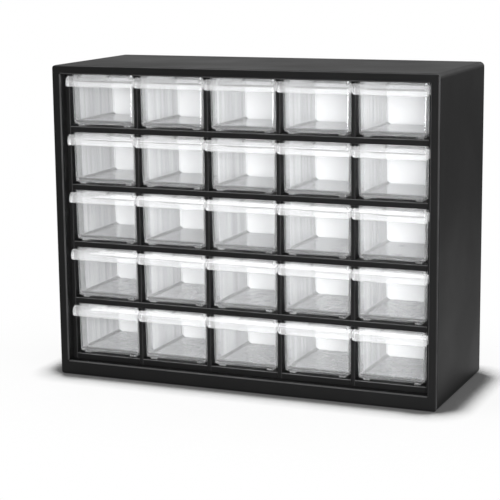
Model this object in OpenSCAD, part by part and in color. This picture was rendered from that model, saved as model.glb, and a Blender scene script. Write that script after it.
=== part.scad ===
// Parts bin cabinet: a moulded case, an interlocked rack of shelves and dividers, and
// twenty-five clear drawers, each with a hooded pull and a loose partition, that slide
// out towards -Y.
// The origin is the centre of the base, X runs along the width and +Z is up.

/* [Case] */
// Overall width
case_w = 405; // [390:1:430]
// Overall depth
case_d = 154; // [150:1:170]
// Overall height
case_h = 320; // [312:1:335]
// Wall thickness of the case moulding
skin = 2.2; // [1.8:0.1:2.6]
// Width of the front frame at the two sides
side_band = 9.5; // [8:0.5:12]
// Height of the front frame along the top
top_band = 9; // [8:0.5:12]
// Height of the front frame along the base
base_band = 15; // [12:0.5:18]
// Radius of the case corners, seen from the front
corner_r = 5; // [3.5:0.5:7]
// Radius of the outer edge round the front frame
edge_r = 2; // [0.8:0.1:2.4]
// Chamfer on the inner edge of the front frame
rim_chamfer = 1.2; // [0.4:0.1:1.6]

/* [Rack] */
// Setback of the rack behind the front frame
rack_set = 11; // [10:0.5:14]
// Thickness of the shelf plates
shelf_t = 2.2; // [1.8:0.1:2.6]
// Height of the turned-down front edge of a shelf
shelf_lip_h = 5.8; // [5:0.1:6.4]
// Thickness of the front edges of shelves and dividers
lip_t = 2.2; // [1.8:0.1:2.6]
// Width of the front edges of the dividers and side panels
upright_face = 4.3; // [4:0.1:5]
// Thickness of a divider's web
divider_t = 2; // [1.6:0.1:2.4]
// Depth of a divider's posts, in front of its windows and behind them
post_d = 19; // [16:1:24]
// Height of the rail between two drawers that a window leaves on the shelf
rail_h = 5; // [4:0.5:7]
// Height of the strip that a window leaves under the shelf above
strip_h = 12; // [10:0.5:16]
// Radius of a window's corners
window_r = 4; // [2:0.5:6]
// Thickness of the rack's side panels behind their front edges
side_t = 2.5; // [2:0.1:3]
// Depth of the grooves that hold the shelf ends
groove = 1.2; // [0.8:0.1:1.4]

/* [Back] */
// Diameter of a keyhole's round end
keyhole_d = 9; // [8:0.5:11]
// Width of a keyhole's slot
keyhole_slot = 4.5; // [4:0.5:5.5]
// Rise of a keyhole's slot above its round end
keyhole_rise = 9; // [7:0.5:12]
// Distance between the two keyholes
keyhole_span = 280; // [200:1:300]
// Drop of the keyholes below the top
keyhole_drop = 50; // [35:1:80]

/* [Drawer] */
// Gap between a drawer and the rack at each side
side_gap = 1.45; // [1:0.05:2]
// Gap between a drawer's rim and the shelf edge above
rim_gap = 1; // [0.6:0.1:2]
// Room behind a closed drawer
rear_gap = 6.3; // [4:0.1:12]
// Wall thickness of the drawer
wall = 1.6; // [1.2:0.1:2]
// Radius of the bottom side edges
tub_r = 5.5; // [4:0.5:6]
// Radius of the front bottom edge
toe_r = 2.5; // [2:0.1:4]
// Radius of the four upright corners
tub_corner = 3; // [2:0.5:4]
// Draft of each long side, from the rim down to the floor
draft = 0.8; // [0.4:0.1:1.4]
// Height of the two runners under the floor
runner_h = 1.5; // [0.8:0.1:1.8]
// Width of a runner
runner_w = 6; // [5:0.5:9]
// Distance of a runner from the foot of the side
runner_in = 5; // [4:0.5:7]
// Length of the raised rear end that stops the drawer
stop_l = 22; // [15:1:30]
// Rise of that rear end above the rim
stop_rise = 2.8; // [2.4:0.1:3]
// Place of the partition, as a share of the tub length
slot_at = 0.66; // [0.3:0.01:0.75]
// Width of the slot that the partition stands in
slot_w = 1.8; // [1.4:0.1:2.4]
// Drop of the partition's upper edge below the rim
partition_drop = 1.5; // [1:0.1:6]
// Width of the ribs beside that slot
rib_w = 1.2; // [0.8:0.1:1.6]
// Height of those ribs over the wall at the floor, and more above with the draft
rib_h = 0.6; // [0.4:0.1:1]
// Drop of the ribs' upper ends below the rim
rib_drop = 3; // [2:0.5:6]

/* [Pull] */
// Reach of the hooded pull in front of the tub
pull_out = 7; // [6:0.5:10]
// Height of the pull, from the rim to its lower edge
pull_h = 11.8; // [9:0.1:13]
// Drop of the pull's sloping top
pull_slope = 5.6; // [3:0.1:6.4]
// Gap between two neighbouring pulls
pull_gap = 0.9; // [0.6:0.1:1.5]
// Radius where the sloping top turns down
pull_r = 3; // [1:0.5:4]
// Lean of the pull's front face, its lower edge standing furthest out
pull_lean = 1; // [0.6:0.1:1.6]
// Radius of the pull's two front corners
pull_corner = 1.5; // [1:0.1:2]
// Radius of the pull's two lower corners
pull_foot = 3; // [1.5:0.5:4]

/* [Hidden] */
rows = 5;
columns = 5;
$fn = 48;

over = 1;                                    // cutters run this far past a face
fit = 0.1;                                   // play in the rack's slots and round a partition
rack_play = 0.2;                             // play between the rack and the back panel
run = 0.3;                                   // play between a drawer and the rack
front = -case_d / 2;
back = case_d / 2;
open_w = case_w - 2 * side_band;
open_h = case_h - top_band - base_band;
open_top = case_h - top_band;
sleeve = 2;                                  // inner wall of the double sides and base
rack_y = front + rack_set;                   // front plane of the rack
rack_back = back - skin - rack_play;
rack_mid = (rack_y + rack_back) / 2;         // where the slots of the rack meet
rack_top = case_h - skin;                    // the rack props up the case's top
cell_w = (open_w - (columns + 1) * upright_face) / columns;
pitch_x = cell_w + upright_face;
cell_h = (open_h - rows * shelf_lip_h) / rows;
pitch_z = cell_h + shelf_lip_h;
tub_w = cell_w - 2 * side_gap;
tub_set = 1.5;                               // tub front behind the rack's front plane
tub_y = rack_y + tub_set;
tub_l = back - skin - rear_gap - tub_y;      // length of the tub
rim_z = cell_h - run - rim_gap;              // drawer's rim above the foot of its runners
tub_h = rim_z - runner_h;                    // height of the tub without its runners
side_lean = draft / tub_h;
pull_w = pitch_x - pull_gap;
keyhole_z = case_h - keyhole_drop;

// Height of the top face of shelf i, counted from the top row down
function shelf_z(i) = base_band + shelf_lip_h + (rows - i) * pitch_z;
// Centre of column c and of divider i, counted from the left
function column_x(c) = (c - (columns + 1) / 2) * pitch_x;
function divider_x(i) = (i - columns / 2) * pitch_x;

// Box from its lowest to its highest corner
module box(low, high) {
    translate(low) cube(high - low);
}

// Rectangle standing on y = 0, centred on x, with its four corners rounded
module rounded_rect(w, h, r) {
    translate([-w / 2 + r, 0]) square([w - 2 * r, h]);
    translate([-w / 2, r]) square([w, h - 2 * r]);
    for (x = [-w / 2 + r, w / 2 - r], y = [r, h - r])
        translate([x, y]) circle(r);
}

// Cross-section of a bin standing on y = 0: the base runs from -half to half, the
// lower corners are rounded and the sides lean out by `lean` for each unit of height
module bin_outline(half, h, r, lean = 0) {
    tilt = atan(lean);
    x = half - r * (1 - sin(tilt)) / cos(tilt);
    side = [[x, 0], [x + r * cos(tilt), r - r * sin(tilt)], [half + h * lean, h]];
    polygon(concat(side, [for (i = [2 : -1 : 0]) [-side[i][0], side[i][1]]]));
    for (side = [-1, 1])
        translate([side * x, r]) circle(r);
}

// Extrudes an outline drawn as (x, z) along Y, from y0 to y1
module along_y(y0, y1) {
    translate([0, y1, 0]) rotate([90, 0, 0]) linear_extrude(y1 - y0) children();
}

// Extrudes an outline drawn as (y, z) along X, over the width w
module along_x(w) {
    translate([-w / 2, 0, 0]) rotate([90, 0, 90]) linear_extrude(w) children();
}

// Case --------------------------------------------------------------------

// Outer form: rounded corners from the front and a rounded front edge
module case_block() {
    intersection() {
        along_y(front, back) rounded_rect(case_w, case_h, corner_r);
        along_x(case_w) {
            translate([front + edge_r, 0]) square([case_d - edge_r, case_h]);
            translate([front, edge_r]) square([case_d, case_h - 2 * edge_r]);
            for (z = [edge_r, case_h - edge_r])
                translate([front + edge_r, z]) circle(edge_r);
        }
        linear_extrude(case_h) {
            translate([-case_w / 2, front + edge_r]) square([case_w, case_d - edge_r]);
            translate([-case_w / 2 + edge_r, front]) square([case_w - 2 * edge_r, case_d]);
            for (x = [-case_w / 2 + edge_r, case_w / 2 - edge_r])
                translate([x, front + edge_r]) circle(edge_r);
        }
    }
}

// Room for the rack: flush with the frame in front, up to the top skin behind
module case_room() {
    stop_y = rack_y + lip_t;
    box([-open_w / 2, front - over, base_band], [open_w / 2, back + over, open_top]);
    box([-open_w / 2, stop_y, base_band], [open_w / 2, back + over, case_h - skin]);
    box([-open_w / 2, front + skin, open_top + sleeve],
        [open_w / 2, back + over, case_h - skin]);
}

// The case's outline drawn in by `inset` all round, from y0 to y1
module inside_skin(inset, y0, y1) {
    along_y(y0, y1) translate([0, inset])
        rounded_rect(case_w - 2 * inset, case_h - 2 * inset, corner_r - inset);
}

// Hollow between the outer skin and the inner walls of the sides and base
module case_hollow() {
    difference() {
        inside_skin(skin, front + skin, back + over);
        box([-open_w / 2 - sleeve, front, base_band - sleeve],
            [open_w / 2 + sleeve, back + 2 * over, case_h]);
    }
}

// Chamfers round the inner edge of the front frame
module rim_chamfers() {
    side = rim_chamfer * sqrt(2);
    for (z = [base_band, open_top])
        translate([0, front, z]) rotate([45, 0, 0])
            cube([open_w, side, side], center = true);
    for (x = [-open_w / 2, open_w / 2])
        translate([x, front, base_band + open_h / 2]) rotate([0, 0, 45])
            cube([side, side, open_h], center = true);
}

module case() {
    color([0.05, 0.05, 0.055]) difference() {
        case_block();
        case_room();
        case_hollow();
        rim_chamfers();
        inside_skin(skin, back - skin, back + over);
    }
}

// Rear panel with two keyholes for hanging, set into the case
module back_panel() {
    color([0.06, 0.06, 0.065]) difference() {
        inside_skin(skin + fit, back - skin, back);
        for (x = [-keyhole_span / 2, keyhole_span / 2])
            translate([x, 0, keyhole_z]) {
                along_y(back - skin - over, back + over) circle(d = keyhole_d);
                along_y(back - skin - over, back + over) translate([0, keyhole_rise])
                    circle(d = keyhole_slot);
                box([-keyhole_slot / 2, back - skin - over, 0],
                    [keyhole_slot / 2, back + over, keyhole_rise]);
            }
    }
}

// Rack --------------------------------------------------------------------

// Room for the frame's return along the top, which also stops the top drawers
module top_return() {
    box([-case_w / 2, rack_y - over, open_top],
        [case_w / 2, rack_y + lip_t, open_top + sleeve]);
}

// Front edge of a divider or side panel as (x, y), rounded in front
module upright_edge() {
    edge = 0.8;
    half = upright_face / 2;
    translate([-half, rack_y + edge]) square([upright_face, lip_t - edge]);
    translate([-half + edge, rack_y]) square([upright_face - 2 * edge, lip_t]);
    for (x = [-half + edge, half - edge])
        translate([x, rack_y + edge]) circle(edge);
}

// Right side panel, with a groove for the end of each shelf
module rack_side_right() {
    inner = open_w / 2 - side_t;
    color([0.04, 0.04, 0.045]) difference() {
        translate([0, 0, base_band]) linear_extrude(rack_top - base_band) {
            translate([(open_w - upright_face) / 2, 0]) upright_edge();
            translate([inner, rack_y + lip_t - over])
                square([side_t, rack_back - rack_y - lip_t + over]);
        }
        top_return();
        for (i = [1 : rows])
            box([inner - over, rack_y + lip_t, shelf_z(i) - shelf_t],
                [inner + groove, rack_back + over, shelf_z(i)]);
    }
}

module rack_side_left() {
    mirror([1, 0, 0]) rack_side_right();
}

// Cross-section of a shelf as (y, z), its top face at z = 0
module shelf_profile() {
    nose = 1;
    translate([rack_y + nose, -shelf_t]) square([rack_back - rack_y - nose, shelf_t]);
    translate([rack_y, -shelf_lip_h]) square([lip_t, shelf_lip_h - nose]);
    translate([rack_y + nose, -nose]) circle(nose);
}

// Shelf i. The four upper shelves are slotted from behind, so that their front
// edges run on unbroken; the lowest is slotted in front, round the divider feet.
module shelf(i) {
    between_edges = open_w - 2 * (upright_face + fit);
    tongue_x = open_w / 2 - side_t + groove - fit;
    lowest = i == rows;
    color([0.04, 0.04, 0.045]) translate([0, 0, shelf_z(i)]) difference() {
        union() {
            along_x(between_edges) shelf_profile();
            box([-tongue_x, rack_y + lip_t, -shelf_t], [tongue_x, rack_back, 0]);
        }
        for (k = [1 : columns - 1])
            translate([divider_x(k), 0, 0]) {
                if (lowest)
                    box([-upright_face / 2 - fit, rack_y - over, -shelf_lip_h - over],
                        [upright_face / 2 + fit, rack_y + lip_t + fit, over]);
                box([-divider_t / 2 - fit, lowest ? rack_y : rack_mid, -shelf_t - over],
                    [divider_t / 2 + fit, lowest ? rack_mid : rack_back + over, over]);
            }
    }
}

// Cross-section of a divider as (x, y): a thin web behind a wider front edge
module divider_profile() {
    upright_edge();
    translate([-divider_t / 2, rack_y + lip_t - over])
        square([divider_t, rack_back - rack_y - lip_t + over]);
}

// Opening in a divider between two drawers, as (y, z), one to each row
module divider_window() {
    length = rack_back - rack_y - 2 * post_d;
    translate([rack_mid, rail_h])
        rounded_rect(length, pitch_z - shelf_t - rail_h - strip_h, window_r);
}

// Divider k, slotted in front for the four upper shelves and behind for the lowest
module divider(k) {
    half = upright_face / 2 + over;
    color([0.05, 0.05, 0.055]) translate([divider_x(k), 0, 0]) difference() {
        translate([0, 0, base_band]) linear_extrude(rack_top - base_band) divider_profile();
        top_return();
        for (i = [1 : rows])
            translate([0, 0, shelf_z(i)]) along_x(2 * half) divider_window();
        for (i = [1 : rows - 1]) {
            box([-half, rack_y - over, shelf_z(i) - shelf_lip_h - fit],
                [half, rack_y + lip_t + fit, shelf_z(i) + fit]);
            box([-half, rack_y, shelf_z(i) - shelf_t],
                [half, rack_mid + fit, shelf_z(i) + fit]);
        }
        box([-half, rack_mid - fit, shelf_z(rows) - shelf_t],
            [half, rack_back + over, shelf_z(rows) + fit]);
    }
}

// Drawer ------------------------------------------------------------------
// Drawn with the tub's front face on y = 0, its rear at +Y and its runners on z = 0.

// Side view of the tub, whose rear end rises behind the lip of the shelf above
module tub_side() {
    heel_r = tub_r;
    translate([0, toe_r]) square([tub_l - stop_l, tub_h - toe_r]);
    translate([toe_r, 0]) square([tub_l - toe_r - heel_r, tub_h]);
    translate([tub_l - stop_l, heel_r]) square([stop_l, tub_h - heel_r]);
    polygon([
        [tub_l - stop_l, tub_h - over],
        [tub_l - stop_l, tub_h + stop_rise],
        [tub_l - wall, tub_h + stop_rise],
        [tub_l, tub_h + stop_rise - wall],
        [tub_l, tub_h - over]
    ]);
    translate([toe_r, toe_r]) circle(toe_r);
    translate([tub_l - heel_r, heel_r]) circle(heel_r);
}

// Prism between the two leaning sides, its four upright corners rounded and leaning
// with them. The feet of the sides are at x = -half and x = half.
module leaning_block(half, l, r) {
    low = 2 * over;
    intersection_for (side = [0, 1])
        mirror([side, 0, 0]) translate([half, 0, 0]) rotate([0, atan(side_lean), 0])
            translate([-half, 0, -low]) linear_extrude(low + 2 * tub_h) {
                translate([-2 * half, 0]) square([3 * half - r, l]);
                translate([-2 * half, r]) square([3 * half, l - 2 * r]);
                for (y = [r, l - r])
                    translate([half - r, y]) circle(r);
            }
}

module tub_solid() {
    foot = tub_w / 2 - draft;
    intersection() {
        along_y(0, tub_l) bin_outline(foot, tub_h + stop_rise, tub_r, side_lean);
        along_x(tub_w + over) tub_side();
        leaning_block(foot, tub_l, tub_corner);
    }
}

module tub_hollow() {
    depth = tub_l - 2 * wall;
    foot = tub_w / 2 - draft + wall * side_lean - wall;
    inner_r = tub_r - wall;
    intersection() {
        along_y(wall, tub_l - wall) translate([0, wall])
            bin_outline(foot, tub_h + stop_rise, inner_r, side_lean);
        along_x(tub_w) translate([wall + depth / 2, wall])
            bin_outline(depth / 2, tub_h + stop_rise, inner_r);
        translate([0, wall, wall]) leaning_block(foot, depth, tub_corner - wall);
    }
}

// Pairs of ribs on both side walls that hold the partition
module slot_ribs() {
    inner = tub_w / 2 - draft - wall - rib_h;
    outer = tub_w / 2 - (draft + wall) / 2;
    height = tub_h - rib_drop;
    for (side = [-1, 1], step = [-1, 1])
        translate([side * (inner + outer) / 2,
                   tub_l * slot_at + step * (slot_w + rib_w) / 2, (height + wall / 2) / 2])
            cube([outer - inner, rib_w, height - wall / 2], center = true);
}

// Loose partition that stands on the tub's floor, between the ribs
module partition() {
    thickness = slot_w - 2 * fit;
    foot = tub_w / 2 - draft + wall * side_lean - wall - fit;
    low = wall + fit;
    along_y(tub_l * slot_at - thickness / 2, tub_l * slot_at + thickness / 2)
        translate([0, low])
            bin_outline(foot, tub_h - partition_drop - low, tub_r - wall, side_lean);
}

// Runners that carry the tub, one near each side
module runners() {
    x = tub_w / 2 - draft - runner_in - runner_w / 2;
    for (side = [-1, 1])
        translate([side * x, 0, 0])
            box([-runner_w / 2, toe_r, 0], [runner_w / 2, tub_l - tub_r, runner_h + wall / 2]);
}

// Outline of the hooded pull as (y, z), its top meeting the rim at z = 0
module pull_outline() {
    turn = [-pull_out + pull_lean, -pull_slope];   // where the two faces would meet
    toe = [-pull_out, -pull_h];
    slope = atan2(-turn[1], -turn[0]);
    lean = atan2(turn[0] - toe[0], turn[1] - toe[1]);
    reach = pull_r * tan((90 - slope - lean) / 2);
    down_slope = [-cos(slope), -sin(slope)];
    down_face = [-sin(lean), -cos(lean)];
    start = turn - reach * down_slope;
    polygon([
        [0, 0],
        start,
        turn + reach * down_face,
        toe,
        [wall, -pull_h],
        [wall, 0]
    ]);
    translate(start + pull_r * [sin(slope), -cos(slope)]) circle(pull_r);
}

// Plan of the pull: full width in front of the rack, and between the tub's corners behind
module pull_plan() {
    r = pull_corner;
    neck = tub_w - 2 * tub_corner;
    cheek_y = -tub_set - run;
    translate([-pull_w / 2, -pull_out + r]) square([pull_w, pull_out - r + cheek_y]);
    translate([-pull_w / 2 + r, -pull_out]) square([pull_w - 2 * r, pull_out + cheek_y]);
    for (x = [-pull_w / 2 + r, pull_w / 2 - r])
        translate([x, -pull_out + r]) circle(r);
    translate([-neck / 2, cheek_y - over]) square([neck, over - cheek_y + wall]);
}

// Hooded pull, open underneath for the fingertips and closed at both ends
module pull() {
    roof = 1.1 * wall;                       // drop of the hollow below the sloping top
    difference() {
        intersection() {
            translate([0, 0, rim_z]) along_x(pull_w) pull_outline();
            linear_extrude(rim_z + over) pull_plan();
            translate([0, 0, rim_z - pull_h]) along_y(-pull_out - over, wall + over)
                bin_outline(pull_w / 2, pull_h + over, pull_foot);
        }
        translate([0, wall, rim_z - roof]) along_x(pull_w - 2 * wall) pull_outline();
    }
}

module tub() {
    difference() {
        tub_solid();
        tub_hollow();
    }
    intersection() {
        tub_solid();
        slot_ribs();
    }
}

module drawer(r, c) {
    color([0.86, 0.89, 0.91, 0.6])
        translate([column_x(c), tub_y, shelf_z(r) + run]) {
            translate([0, 0, runner_h]) {
                tub();
                partition();
            }
            runners();
            pull();
        }
}

case();
back_panel();
rack_side_left();
rack_side_right();
for (i = [1 : rows])
    shelf(i);
for (i = [1 : columns - 1])
    divider(i);
for (r = [1 : rows], c = [1 : columns])
    drawer(r, c);
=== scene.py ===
"""Looks of the parts bin cabinet: a black moulded case and rack, and twenty-five clear drawers.

Everything is in metres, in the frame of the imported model: the origin is the centre of the base,
the front faces -Y and +Z is up.
"""

import math

import bpy
from mathutils import Matrix, Vector

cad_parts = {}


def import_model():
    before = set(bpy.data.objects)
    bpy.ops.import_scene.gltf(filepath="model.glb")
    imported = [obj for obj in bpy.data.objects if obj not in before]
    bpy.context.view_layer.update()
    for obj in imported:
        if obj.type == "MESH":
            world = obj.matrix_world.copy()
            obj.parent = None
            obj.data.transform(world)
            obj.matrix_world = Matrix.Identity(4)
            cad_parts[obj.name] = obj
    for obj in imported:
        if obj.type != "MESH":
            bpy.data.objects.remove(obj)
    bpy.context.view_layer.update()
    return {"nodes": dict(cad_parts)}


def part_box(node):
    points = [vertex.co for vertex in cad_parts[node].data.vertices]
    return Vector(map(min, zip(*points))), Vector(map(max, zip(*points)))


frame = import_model()

# Camera, fitted to the case's edges in the photograph
CAMERA_PLACE = Vector((0.6193, -1.5071, 0.4417))
CAMERA_AZIMUTH = 22.997     # degrees, towards +X from straight in front
CAMERA_DROP = 10.827        # degrees that the view looks down
CAMERA_ROLL = -0.592        # degrees
SENSOR = 36.0               # mm
LENS = 116.88               # mm

# Colours, linear
CASE_BLACK = (0.0055, 0.0055, 0.0056)
RACK_BLACK = (0.0085, 0.0085, 0.0087)
EDGE_HIGHLIGHT = (0.045, 0.045, 0.046)    # painted highlight along the rounded moulded edges
SHELF_EDGE_HIGHLIGHT = (0.19, 0.19, 0.193)     # brighter painted highlight along the shelves' rounded front edges
CLEAR_TINT = (0.985, 0.990, 0.995)
FLOOR_WHITE = (0.86, 0.86, 0.86)
FLOOR_DARK = (0.10, 0.10, 0.10)      # painted contact shade, where the cabinet touches the floor

# Drawer plastic, by zone: share of light that goes through a surface, roughness, and the share
# of CLEAR_TINT in its colour
TUB_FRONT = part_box("shelf_1")[0].y + 0.0015      # the tub stands this far behind the shelf's edge
WALL = (0.65, 0.09, 1.00)       # side walls and floor, with streaks
BEND = (0.80, 0.09, 0.82)       # the round edges where they meet, more see-through and with a darker colour: a painted shade line along them
CROSS = (0.27, 0.25, 0.94)      # walls that face the front or the back, with a fine mould texture
CORNER = (0.84, 0.07, 0.99)     # the front end of the tub, up to CORNER_DEPTH
FRONT = (0.99, 0.04, 1.00)      # the polished front wall
PULL = (0.80, 0.10, 0.98)       # everything in front of the tub
CORNER_DEPTH = 0.0150
FRONT_WALL = 0.0020             # depth of the front wall's zone, a little over its thickness
STREAKS = 0.05                  # how far the side walls' share wanders
CLOUDS = 0.015                  # and how far their tint does

# Light
AMBIENT = 0.40              # strength of the room for most rays
MIRRORED = 0.39             # and for the rays that are mirrored in gloss
FLOOR_SHINE = ((0.3, 0.47), (1.2, 0.18))    # the floor in gloss: metres away, strength
LAMP_AIM = Vector((0, 0, 0.16))
LAMPS = [                   # name, place, size in metres, power in watts
    ("overhead", (-0.64, -0.30, 1.50), 0.8, 7.5),
    ("front", (0.85, -1.92, 0.50), 1.0, 41.5),
    ("right", (1.90, -1.00, 0.60), 0.9, 9.5),
]

# Floor
FLOOR_HALF = 30.0           # metres from the middle to an edge
FLOOR_DROP = 0.0001         # below the cabinet's base, so that the two don't share a plane
NEAR_SHADE = 0.036          # reach in metres of the shade along the base
WIDE_SHADE = 0.25           # and of the shade round the cabinet and under open drawers


# Materials ---------------------------------------------------------------------------------

class Graph:
    """A material's node tree, with short calls to add and link nodes."""

    def __init__(self, name):
        self.material = bpy.data.materials.new(name)
        self.material.use_nodes = True
        self.tree = self.material.node_tree
        self.shader = self.tree.nodes["Principled BSDF"]
        self.output = self.tree.nodes["Material Output"]
        coordinates = self.add("ShaderNodeTexCoord").outputs
        self.place, self.normal = coordinates["Object"], coordinates["Normal"]

    def add(self, kind, **settings):
        node = self.tree.nodes.new(kind)
        for key, value in settings.items():
            setattr(node, key, value)
        return node

    def link(self, source, target):
        self.tree.links.new(source, target)

    def noise(self, scale, detail=2.0, roughness=0.5, stretch=(1, 1, 1)):
        """Noise in object space, its scale in cycles per metre."""
        mapping = self.add("ShaderNodeMapping")
        mapping.inputs["Scale"].default_value = stretch
        self.link(self.place, mapping.inputs["Vector"])
        node = self.add("ShaderNodeTexNoise")
        node.inputs["Scale"].default_value = scale
        node.inputs["Detail"].default_value = detail
        node.inputs["Roughness"].default_value = roughness
        self.link(mapping.outputs["Vector"], node.inputs["Vector"])
        return node.outputs["Fac"]

    def spread(self, source, low, high, start=0.35, end=0.65):
        """source from start to end, mapped to low to high."""
        node = self.add("ShaderNodeMapRange")
        node.inputs["From Min"].default_value = start
        node.inputs["From Max"].default_value = end
        node.inputs["To Min"].default_value = low
        node.inputs["To Max"].default_value = high
        self.link(source, node.inputs["Value"])
        return node.outputs["Result"]

    def part(self, vector, axis):
        """The X, Y or Z of a vector."""
        node = self.add("ShaderNodeSeparateXYZ")
        self.link(vector, node.inputs["Vector"])
        return node.outputs[axis]

    def facing(self):
        """How far the surface faces along X, Y and Z, each from 0 to 1 whichever the side."""
        return [self.math("ABSOLUTE", self.part(self.normal, axis)) for axis in "XYZ"]

    def math(self, operation, *values):
        """A Math node on plain numbers or sockets."""
        node = self.add("ShaderNodeMath", operation=operation)
        for socket, value in zip(node.inputs, values):
            if isinstance(value, (int, float)):
                socket.default_value = value
            else:
                self.link(value, socket)
        return node.outputs["Value"]

    def between(self, share, first, second):
        """The number first where share is 0 and second where it is 1."""
        step = self.math("SUBTRACT", second, first)
        return self.math("MULTIPLY_ADD", step, share, first)

    def blend(self, share, first, second):
        """The colour first where share is 0 and second where it is 1."""
        node = self.add("ShaderNodeMix", data_type="RGBA")
        self.link(share, node.inputs["Factor"])
        node.inputs[6].default_value = (*first, 1)
        node.inputs[7].default_value = (*second, 1)
        return node.outputs[2]

    def bump(self, height, depth, strength=1.0):
        """A bump of that depth in metres, on the shader's normal."""
        node = self.add("ShaderNodeBump")
        node.inputs["Strength"].default_value = strength
        node.inputs["Distance"].default_value = depth
        self.link(height, node.inputs["Height"])
        self.link(node.outputs["Normal"], self.shader.inputs["Normal"])

    def let_lamps_through(self, share):
        """Lamps light what is behind the surface, by that share of their light."""
        path = self.add("ShaderNodeLightPath")
        clear = self.add("ShaderNodeBsdfTransparent")
        either = self.add("ShaderNodeMixShader")
        shadow = self.math("MULTIPLY", path.outputs["Is Shadow Ray"], share)
        self.link(shadow, either.inputs["Fac"])
        self.link(self.shader.outputs["BSDF"], either.inputs[1])
        self.link(clear.outputs["BSDF"], either.inputs[2])
        self.link(either.outputs["Shader"], self.output.inputs["Surface"])

    def put(self, **values):
        """Plain values straight on the shader's sockets, a space written as an underscore."""
        for key, value in values.items():
            self.shader.inputs[key.replace("_", " ")].default_value = value


def black_plastic(name, colour, gloss, roughness, highlight_colour=EDGE_HIGHLIGHT):
    """Satin plastic: a fine spark texture, wandering roughness and a painted highlight, a lighter
    colour, on the rounded edges.
    """
    g = Graph(name)
    g.put(IOR=1.5, Specular_IOR_Level=gloss)
    cloud = g.noise(9.0, detail=3.0)
    x, y, z = g.facing()
    # painted highlight: where the normal leans between the axes, on rounded edges, the colour turns
    # lighter, patchy by noise
    edge = g.spread(g.math("MAXIMUM", x, g.math("MAXIMUM", y, z)), 1, 0, 0.80, 0.94)
    painted_highlight = g.math("MULTIPLY", edge, g.spread(g.noise(45.0), 0.6, 1))
    g.link(g.blend(painted_highlight, colour, highlight_colour), g.shader.inputs["Base Color"])
    g.link(g.spread(cloud, roughness - 0.04, roughness + 0.05), g.shader.inputs["Roughness"])
    g.bump(g.noise(1400.0, detail=2.0, roughness=0.6), 0.00003)
    return g.material


def clear_plastic():
    """Polystyrene: polished in front, streaky on the sides, finely textured on the cross walls."""
    g = Graph("drawer_clear")
    g.put(IOR=1.5, Specular_IOR_Level=0.5)
    flow = g.noise(26.0, detail=2.0, stretch=(1, 0.3, 1))

    y = g.part(g.place, "Y")
    faces_x, faces_y, faces_z = g.facing()
    # the bends between the walls and the floor; the darker tint that BEND gives them is a painted
    # shade line
    bend = g.math("MULTIPLY", g.spread(g.math("MAXIMUM", faces_x, faces_z), 1, 0, 0.90, 0.96),
                  g.spread(faces_y, 1, 0, 0.20, 0.40))
    cross = g.spread(faces_y, 0, 1, 0.80, 0.95)

    def before(depth, fade=0.0010):
        """1 in front of that depth behind the tub's front, and 0 past the fade."""
        return g.spread(y, 1, 0, TUB_FRONT + depth, TUB_FRONT + depth + fade)

    corner = before(CORNER_DEPTH)
    front = g.math("MULTIPLY", before(FRONT_WALL), g.spread(faces_y, 0, 1, 0.50, 0.95))
    ahead = before(-0.0002, 0.0001)
    zones = ((bend, BEND), (cross, CROSS), (corner, CORNER), (front, FRONT), (ahead, PULL))

    def zoned(value, which):
        """The side walls' value, and in each zone that zone's own."""
        for share, zone in zones:
            value = g.between(share, value, zone[which])
        return value

    streaks = g.noise(140.0, stretch=(1, 1, 0.03))
    share = zoned(g.spread(streaks, WALL[0] - STREAKS, WALL[0] + STREAKS), 0)
    g.link(share, g.shader.inputs["Transmission Weight"])
    g.link(zoned(WALL[1], 1), g.shader.inputs["Roughness"])
    pale = zoned(g.spread(flow, WALL[2] - CLOUDS, WALL[2]), 2)
    g.link(g.blend(pale, (0, 0, 0), CLEAR_TINT), g.shader.inputs["Base Color"])
    g.bump(flow, 0.0002, 0.3)
    g.let_lamps_through(share)
    return g.material


def dress():
    case = black_plastic("case_black", CASE_BLACK, 0.22, 0.38)
    rack = black_plastic("rack_black", RACK_BLACK, 0.12, 0.42)
    # the shelves carry the brighter painted edge highlight
    shelf = black_plastic("shelf_black", RACK_BLACK, 0.12, 0.42, SHELF_EDGE_HIGHLIGHT)
    clear = clear_plastic()
    for name, node in frame["nodes"].items():
        if name.startswith("drawer"):
            look, slot = clear, "drawer_plastic"
        elif name in ("case", "back_panel"):
            look, slot = case, "case_plastic"
        else:
            look, slot = shelf if name.startswith("shelf") else rack, "rack_plastic"
        node.data.materials.clear()
        node.data.materials.append(look)


# Stage -------------------------------------------------------------------------------------

def camera():
    data = bpy.data.cameras.new("camera")
    data.sensor_width = SENSOR
    data.lens = LENS
    data.clip_start = 0.05
    view = bpy.data.objects.new("camera", data)
    turn = (Matrix.Rotation(math.radians(CAMERA_AZIMUTH), 4, "Z")
            @ Matrix.Rotation(math.radians(90 - CAMERA_DROP), 4, "X")
            @ Matrix.Rotation(math.radians(CAMERA_ROLL), 4, "Z"))
    view.matrix_world = Matrix.Translation(CAMERA_PLACE) @ turn
    bpy.context.scene.collection.objects.link(view)
    bpy.context.scene.camera = view


def lamp(name, place, size, power):
    """A square soft lamp that points at the middle of the cabinet."""
    data = bpy.data.lights.new(name, "AREA")
    data.size = size
    data.energy = power
    light = bpy.data.objects.new(name, data)
    light.location = place
    light.rotation_euler = (LAMP_AIM - Vector(place)).to_track_quat("-Z", "Y").to_euler()
    bpy.context.scene.collection.objects.link(light)


def ray_kinds(g):
    """1 for rays that see the backdrop, straight or through clear plastic; and 1 for gloss."""
    path = g.add("ShaderNodeLightPath")
    seen = g.math("MAXIMUM", path.outputs["Is Camera Ray"], path.outputs["Is Transmission Ray"])
    return seen, path.outputs["Is Glossy Ray"]


class WorldGraph(Graph):
    """The same short calls, on the world's nodes."""

    def __init__(self, world):
        world.use_nodes = True
        self.tree = world.node_tree
        self.shader = self.tree.nodes["Background"]


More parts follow.
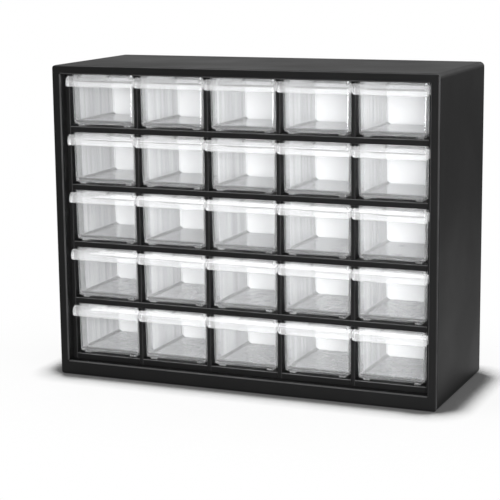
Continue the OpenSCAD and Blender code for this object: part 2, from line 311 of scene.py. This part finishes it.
def white_world():
    world = bpy.data.worlds.new("world")
    bpy.context.scene.world = world
    g = WorldGraph(world)
    g.put(Color=(1, 1, 1, 1))
    seen, mirrored = ray_kinds(g)
    strength = g.between(seen, g.between(mirrored, AMBIENT, MIRRORED), 1.0)
    g.link(strength, g.shader.inputs["Strength"])


def floor():
    """White, darker where the cabinet shades it, and dimmer in gloss the further away it is."""
    mesh = bpy.data.meshes.new("floor")
    corners = [(x * FLOOR_HALF, y * FLOOR_HALF, 0) for x, y in ((-1, -1), (1, -1), (1, 1), (-1, 1))]
    mesh.from_pydata(corners, [], [(0, 1, 2, 3)])
    ground = bpy.data.objects.new("floor", mesh)
    ground.location.z = -FLOOR_DROP
    bpy.context.scene.collection.objects.link(ground)
    g = Graph("floor_white")
    g.put(Roughness=0.9, Specular_IOR_Level=0.1)

    def open_sky(reach):
        node = g.add("ShaderNodeAmbientOcclusion", samples=8)
        node.inputs["Distance"].default_value = reach
        return node.outputs["AO"]

    near, wide = open_sky(NEAR_SHADE), open_sky(WIDE_SHADE)
    # painted shade: the floor's colour darkens towards FLOOR_DARK where ambient occlusion finds the
    # cabinet near
    g.link(g.blend(g.spread(near, 0, 1, 0.76, 0.97), FLOOR_DARK, FLOOR_WHITE),
           g.shader.inputs["Base Color"])
    white_share = g.math("ADD", g.spread(near, 0, 0.85, 0.81, 0.97),
                         g.spread(wide, 0.05, 0.15, 0.70, 0.99))

    distance = g.add("ShaderNodeVectorMath", operation="LENGTH")
    g.link(g.place, distance.inputs[0])
    (close, bright), (far, dim) = FLOOR_SHINE
    shine = g.spread(distance.outputs["Value"], bright, dim, close, far)
    seen, mirrored = ray_kinds(g)
    white = g.add("ShaderNodeEmission")
    g.link(g.between(seen, shine, 1.0), white.inputs["Strength"])
    either = g.add("ShaderNodeMixShader")
    painted = g.math("MULTIPLY", white_share, g.math("MAXIMUM", seen, mirrored))
    g.link(painted, either.inputs["Fac"])
    g.link(g.shader.outputs["BSDF"], either.inputs[1])
    g.link(white.outputs["Emission"], either.inputs[2])
    g.link(either.outputs["Shader"], g.output.inputs["Surface"])
    mesh.materials.append(g.material)


camera()
dress()
for lamp_settings in LAMPS:
    lamp(*lamp_settings)
white_world()
floor()
bpy.context.scene.view_settings.view_transform = "Standard"
